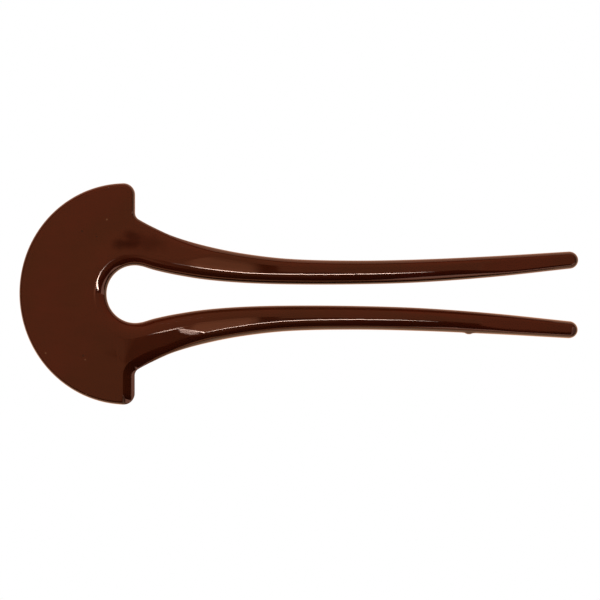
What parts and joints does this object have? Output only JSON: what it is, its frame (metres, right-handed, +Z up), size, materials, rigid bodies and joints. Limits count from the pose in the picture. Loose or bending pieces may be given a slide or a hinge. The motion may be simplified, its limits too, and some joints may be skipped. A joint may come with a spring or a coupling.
{
  "type": "hair fork",
  "caption": "One-piece glossy dark brown hair fork: a half-moon head with a round eye, and two slim bowed prongs that slide into a bun or twist of hair and hold it.",
  "frame": {"origin": "bottom centre of the bounding box: on the surface that the fork rests on, in the middle of its length and width", "axes": "+X from the half-moon head to the prong tips, +Y across the two prongs, +Z up, through the convex outer side of the bow"},
  "size_m": [0.11, 0.0434, 0.0092],
  "materials": {
    "brown_acetate": "gloss"
  },
  "bodies": {
    "root": {"hair_fork": "brown_acetate"}
  },
  "joints": []
}
